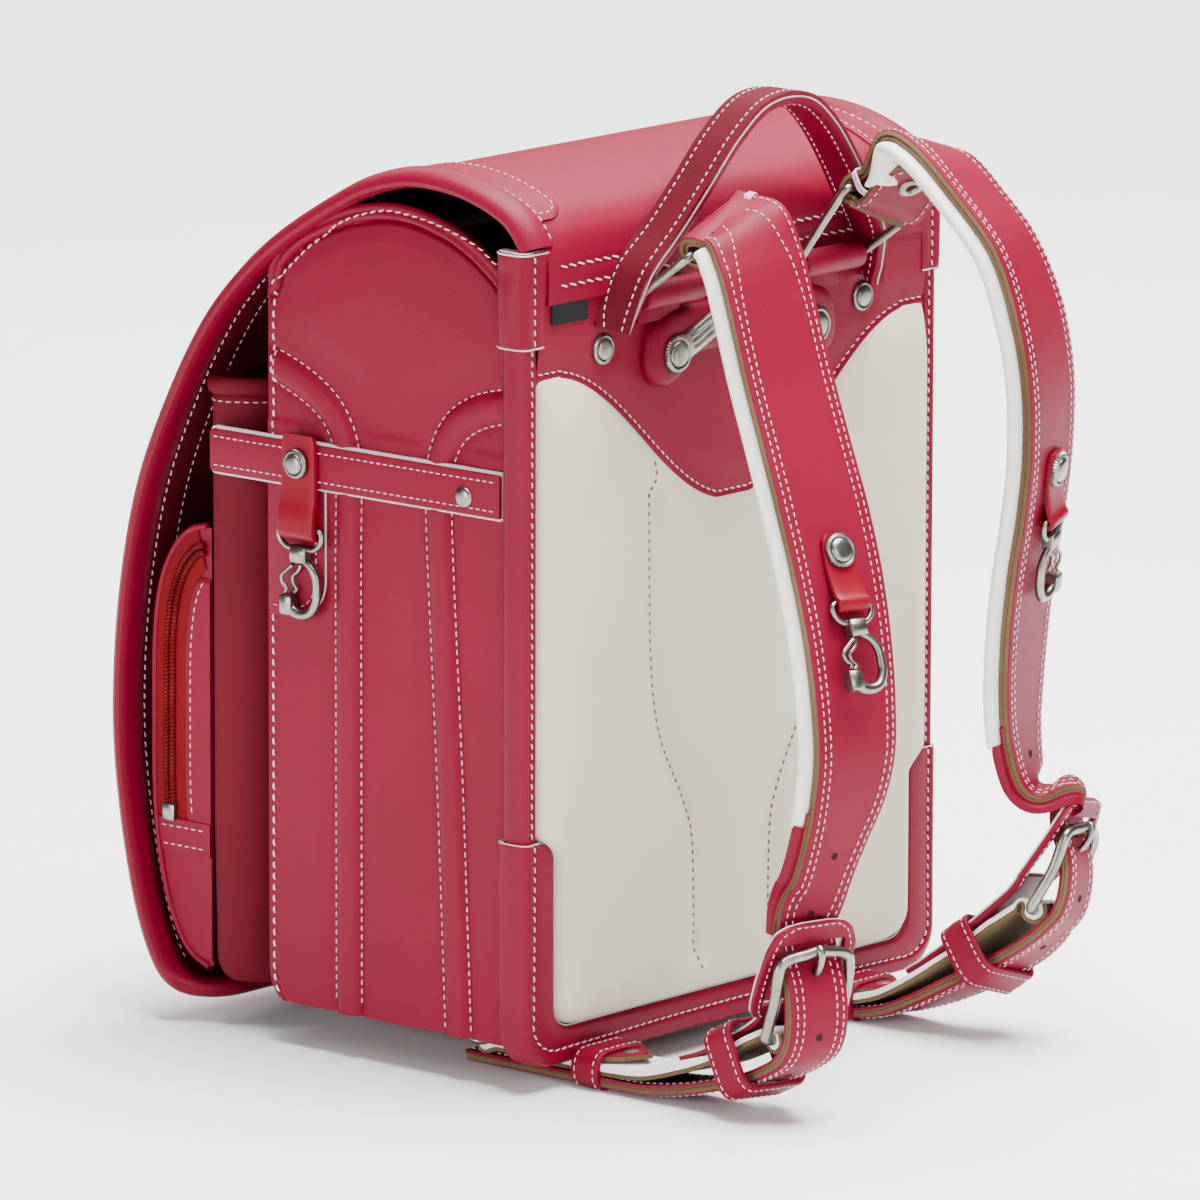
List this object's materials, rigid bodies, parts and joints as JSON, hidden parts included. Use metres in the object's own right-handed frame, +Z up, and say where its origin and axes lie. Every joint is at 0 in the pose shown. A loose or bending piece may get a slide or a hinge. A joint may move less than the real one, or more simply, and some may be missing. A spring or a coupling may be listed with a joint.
{
  "type": "school backpack",
  "caption": "Stiff leather school backpack with a long wrap-over flap, bound edges, padded back, carrying handle, buckled shoulder straps and snap hooks",
  "frame": {"origin": "middle of the footprint, on the floor that the bag stands on", "axes": "+Z up; +Y the way the padded back faces, towards the wearer; +X across the bag, to the left as seen by someone who faces the padded back"},
  "size_m": [0.2642, 0.3566, 0.391],
  "materials": {
    "leather_red": "satin",
    "leather_binding": "satin",
    "leather_dark": "satin",
    "cushion_cream": "soft matt",
    "lining_white": "soft matt",
    "label_black": "matt",
    "zip_red": "woven",
    "nickel": "satin nickel"
  },
  "bodies": {
    "bag": {"main_shell": "leather_red", "front_pouch": "leather_dark", "zip_pocket": "leather_red", "zipper": "zip_red", "flap": "leather_red", "flap_binding": "leather_binding", "flap_tongue": "leather_red", "bottom_lock": "nickel", "back_board": "leather_red", "back_yoke": "leather_red", "back_cushion": "cushion_cream", "back_binding": "leather_binding", "corner_guard": "leather_binding", "label": "label_black", "side_belt_left": "leather_red", "side_belt_right": "leather_red", "side_belt_rivet_left": "nickel", "side_belt_rivet_right": "nickel", "side_patch_left": "leather_red", "side_patch_right": "leather_red", "side_loop_left": "leather_binding", "side_loop_right": "leather_binding", "side_stud_left": "nickel", "side_stud_right": "nickel", "strap_base": "leather_binding", "strap_base_plate_left": "nickel", "strap_base_plate_right": "nickel", "ring_left": "nickel", "ring_right": "nickel", "handle": "leather_binding", "handle_rivet_left": "nickel", "handle_rivet_right": "nickel", "strap_left": "leather_red", "strap_pad_left": "lining_white", "strap_tab_left": "leather_binding", "strap_stud_left": "nickel", "buckle_left": "nickel", "buckle_tab_left": "leather_binding", "lower_strap_left": "lining_white", "bottom_ring_left": "nickel", "lower_keeper_left": "leather_binding", "keeper_left": "leather_binding", "strap_right": "leather_red", "strap_pad_right": "lining_white", "strap_tab_right": "leather_binding", "strap_stud_right": "nickel", "buckle_right": "nickel", "buckle_tab_right": "leather_binding", "lower_strap_right": "lining_white", "bottom_ring_right": "nickel", "lower_keeper_right": "leather_binding", "keeper_right": "leather_binding"},
    "side_hook_left": {"side_hook_left": "nickel"},
    "side_gate_left": {"side_gate_left": "nickel"},
    "side_hook_right": {"side_hook_right": "nickel"},
    "side_gate_right": {"side_gate_right": "nickel"},
    "strap_hook_left": {"strap_hook_left": "nickel"},
    "strap_gate_left": {"strap_gate_left": "nickel"},
    "strap_hook_right": {"strap_hook_right": "nickel"},
    "strap_gate_right": {"strap_gate_right": "nickel"}
  },
  "joints": [
    {"name": "side_hook_swing_left", "type": "hinge", "parent": "bag", "child": "side_hook_left", "pos_m": [0.1271, -0.07164, 0.214], "axis": [0, -1, 0], "range_deg": [0, 80]},
    {"name": "side_gate_snap_left", "type": "hinge", "parent": "side_hook_left", "child": "side_gate_left", "pos_m": [0.1271, -0.07464, 0.19909], "axis": [1, 0, 0], "range_deg": [0, 20], "stiffness_Nm_per_rad": 0.002, "springref_deg": -20.05},
    {"name": "side_hook_swing_right", "type": "hinge", "parent": "bag", "child": "side_hook_right", "pos_m": [-0.1271, -0.07164, 0.214], "axis": [0, 1, 0], "range_deg": [0, 80]},
    {"name": "side_gate_snap_right", "type": "hinge", "parent": "side_hook_right", "child": "side_gate_right", "pos_m": [-0.1271, -0.07464, 0.19909], "axis": [1, 0, 0], "range_deg": [0, 20], "stiffness_Nm_per_rad": 0.002, "springref_deg": -20.05},
    {"name": "strap_hook_swing_left", "type": "hinge", "parent": "bag", "child": "strap_hook_left", "pos_m": [0.06683, 0.16331, 0.20667], "axis": [0.9758, -0.2144, 0.0437], "range_deg": [0, 80]},
    {"name": "strap_gate_snap_left", "type": "hinge", "parent": "strap_hook_left", "child": "strap_gate_left", "pos_m": [0.07161, 0.16835, 0.19314], "axis": [0.1797, 0.8994, 0.3984], "range_deg": [0, 20], "stiffness_Nm_per_rad": 0.002, "springref_deg": -20.05},
    {"name": "strap_hook_swing_right", "type": "hinge", "parent": "bag", "child": "strap_hook_right", "pos_m": [-0.06493, 0.15878, 0.22092], "axis": [0.9485, 0.2506, -0.1939], "range_deg": [0, 80]},
    {"name": "strap_gate_snap_right", "type": "hinge", "parent": "strap_hook_right", "child": "strap_gate_right", "pos_m": [-0.06991, 0.15492, 0.20707], "axis": [0.2829, -0.9454, 0.162], "range_deg": [0, 20], "stiffness_Nm_per_rad": 0.002, "springref_deg": -20.05}
  ]
}
